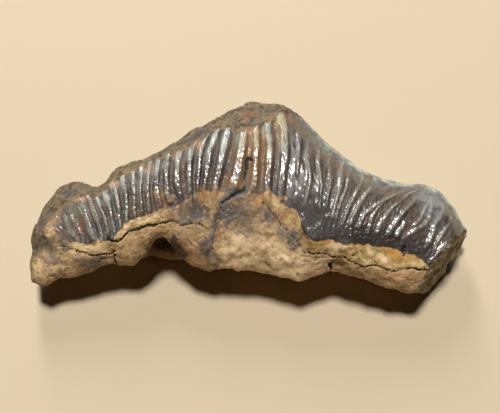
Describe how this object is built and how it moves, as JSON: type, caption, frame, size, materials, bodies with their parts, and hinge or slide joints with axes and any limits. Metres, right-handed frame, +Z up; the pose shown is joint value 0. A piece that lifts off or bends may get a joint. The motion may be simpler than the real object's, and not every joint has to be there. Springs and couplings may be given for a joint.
{
  "type": "fossil shark tooth",
  "caption": "Low, long, ridged fossil shark tooth with a tall middle cusp, a spongy root and one broken end, lying on its back.",
  "frame": {"origin": "on the surface that the tooth lies on, under the middle of its bounding box", "axes": "+X along the tooth towards its broken end, +Y across it towards the crest, +Z up through its thickness"},
  "size_m": [0.02, 0.009, 0.0046],
  "materials": {
    "fossil_tooth": "Glossy grey-brown ridged enamel on the crown, ochre at its edges, and matte tan root with fine cracks and dark stains."
  },
  "bodies": {
    "root": {"tooth": "fossil_tooth"}
  },
  "joints": []
}
